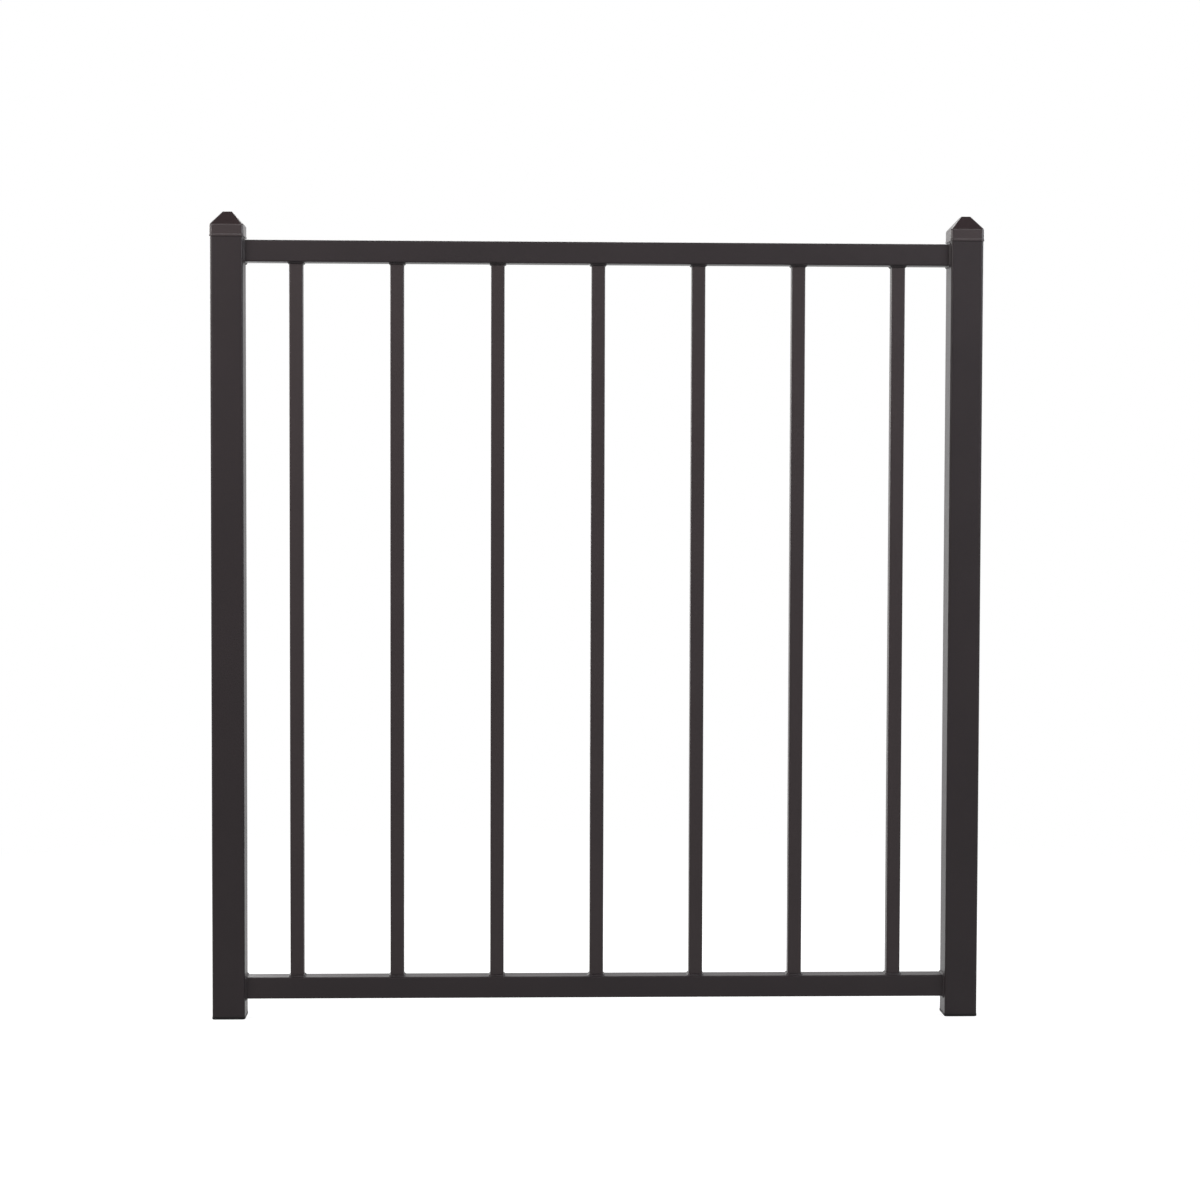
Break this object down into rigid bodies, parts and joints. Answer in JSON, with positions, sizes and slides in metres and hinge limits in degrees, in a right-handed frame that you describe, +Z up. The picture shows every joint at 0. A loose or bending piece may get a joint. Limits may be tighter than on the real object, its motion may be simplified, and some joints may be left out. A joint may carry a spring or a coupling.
{
  "type": "steel gate",
  "caption": "Welded steel gate leaf of square tube: capped posts at both ends, a top and a bottom rail and evenly spaced upright pickets between them.",
  "frame": {"origin": "middle of the left post's outer face, at half the height of the post tube, where hinges are fastened", "axes": "+Z up along the posts; +X along the rails from the left (hinge) post to the right (latch) post; -Y is the front that faces the viewer"},
  "size_m": [0.9041, 0.0406, 0.9442],
  "materials": {
    "powder_coat": "satin dark brown-black powder coat",
    "weld": "powder coat over rippled weld bead",
    "cap_plastic": "fine-grained moulded plastic",
    "foot_plastic": "matte black moulded plastic"
  },
  "bodies": {
    "root": {"left_post": "powder_coat", "right_post": "powder_coat", "top_rail": "powder_coat", "bottom_rail": "powder_coat", "picket_1": "powder_coat", "picket_2": "powder_coat", "picket_3": "powder_coat", "picket_4": "powder_coat", "picket_5": "powder_coat", "picket_6": "powder_coat", "picket_7": "powder_coat", "left_post_cap": "cap_plastic", "right_post_cap": "cap_plastic", "left_foot_plug": "foot_plastic", "right_foot_plug": "foot_plastic", "top_rail_left_weld": "weld", "top_rail_right_weld": "weld", "bottom_rail_left_weld": "weld", "bottom_rail_right_weld": "weld", "picket_1_top_weld": "weld", "picket_1_bottom_weld": "weld", "picket_2_top_weld": "weld", "picket_2_bottom_weld": "weld", "picket_3_top_weld": "weld", "picket_3_bottom_weld": "weld", "picket_4_top_weld": "weld", "picket_4_bottom_weld": "weld", "picket_5_top_weld": "weld", "picket_5_bottom_weld": "weld", "picket_6_top_weld": "weld", "picket_6_bottom_weld": "weld", "picket_7_top_weld": "weld", "picket_7_bottom_weld": "weld"}
  },
  "joints": []
}
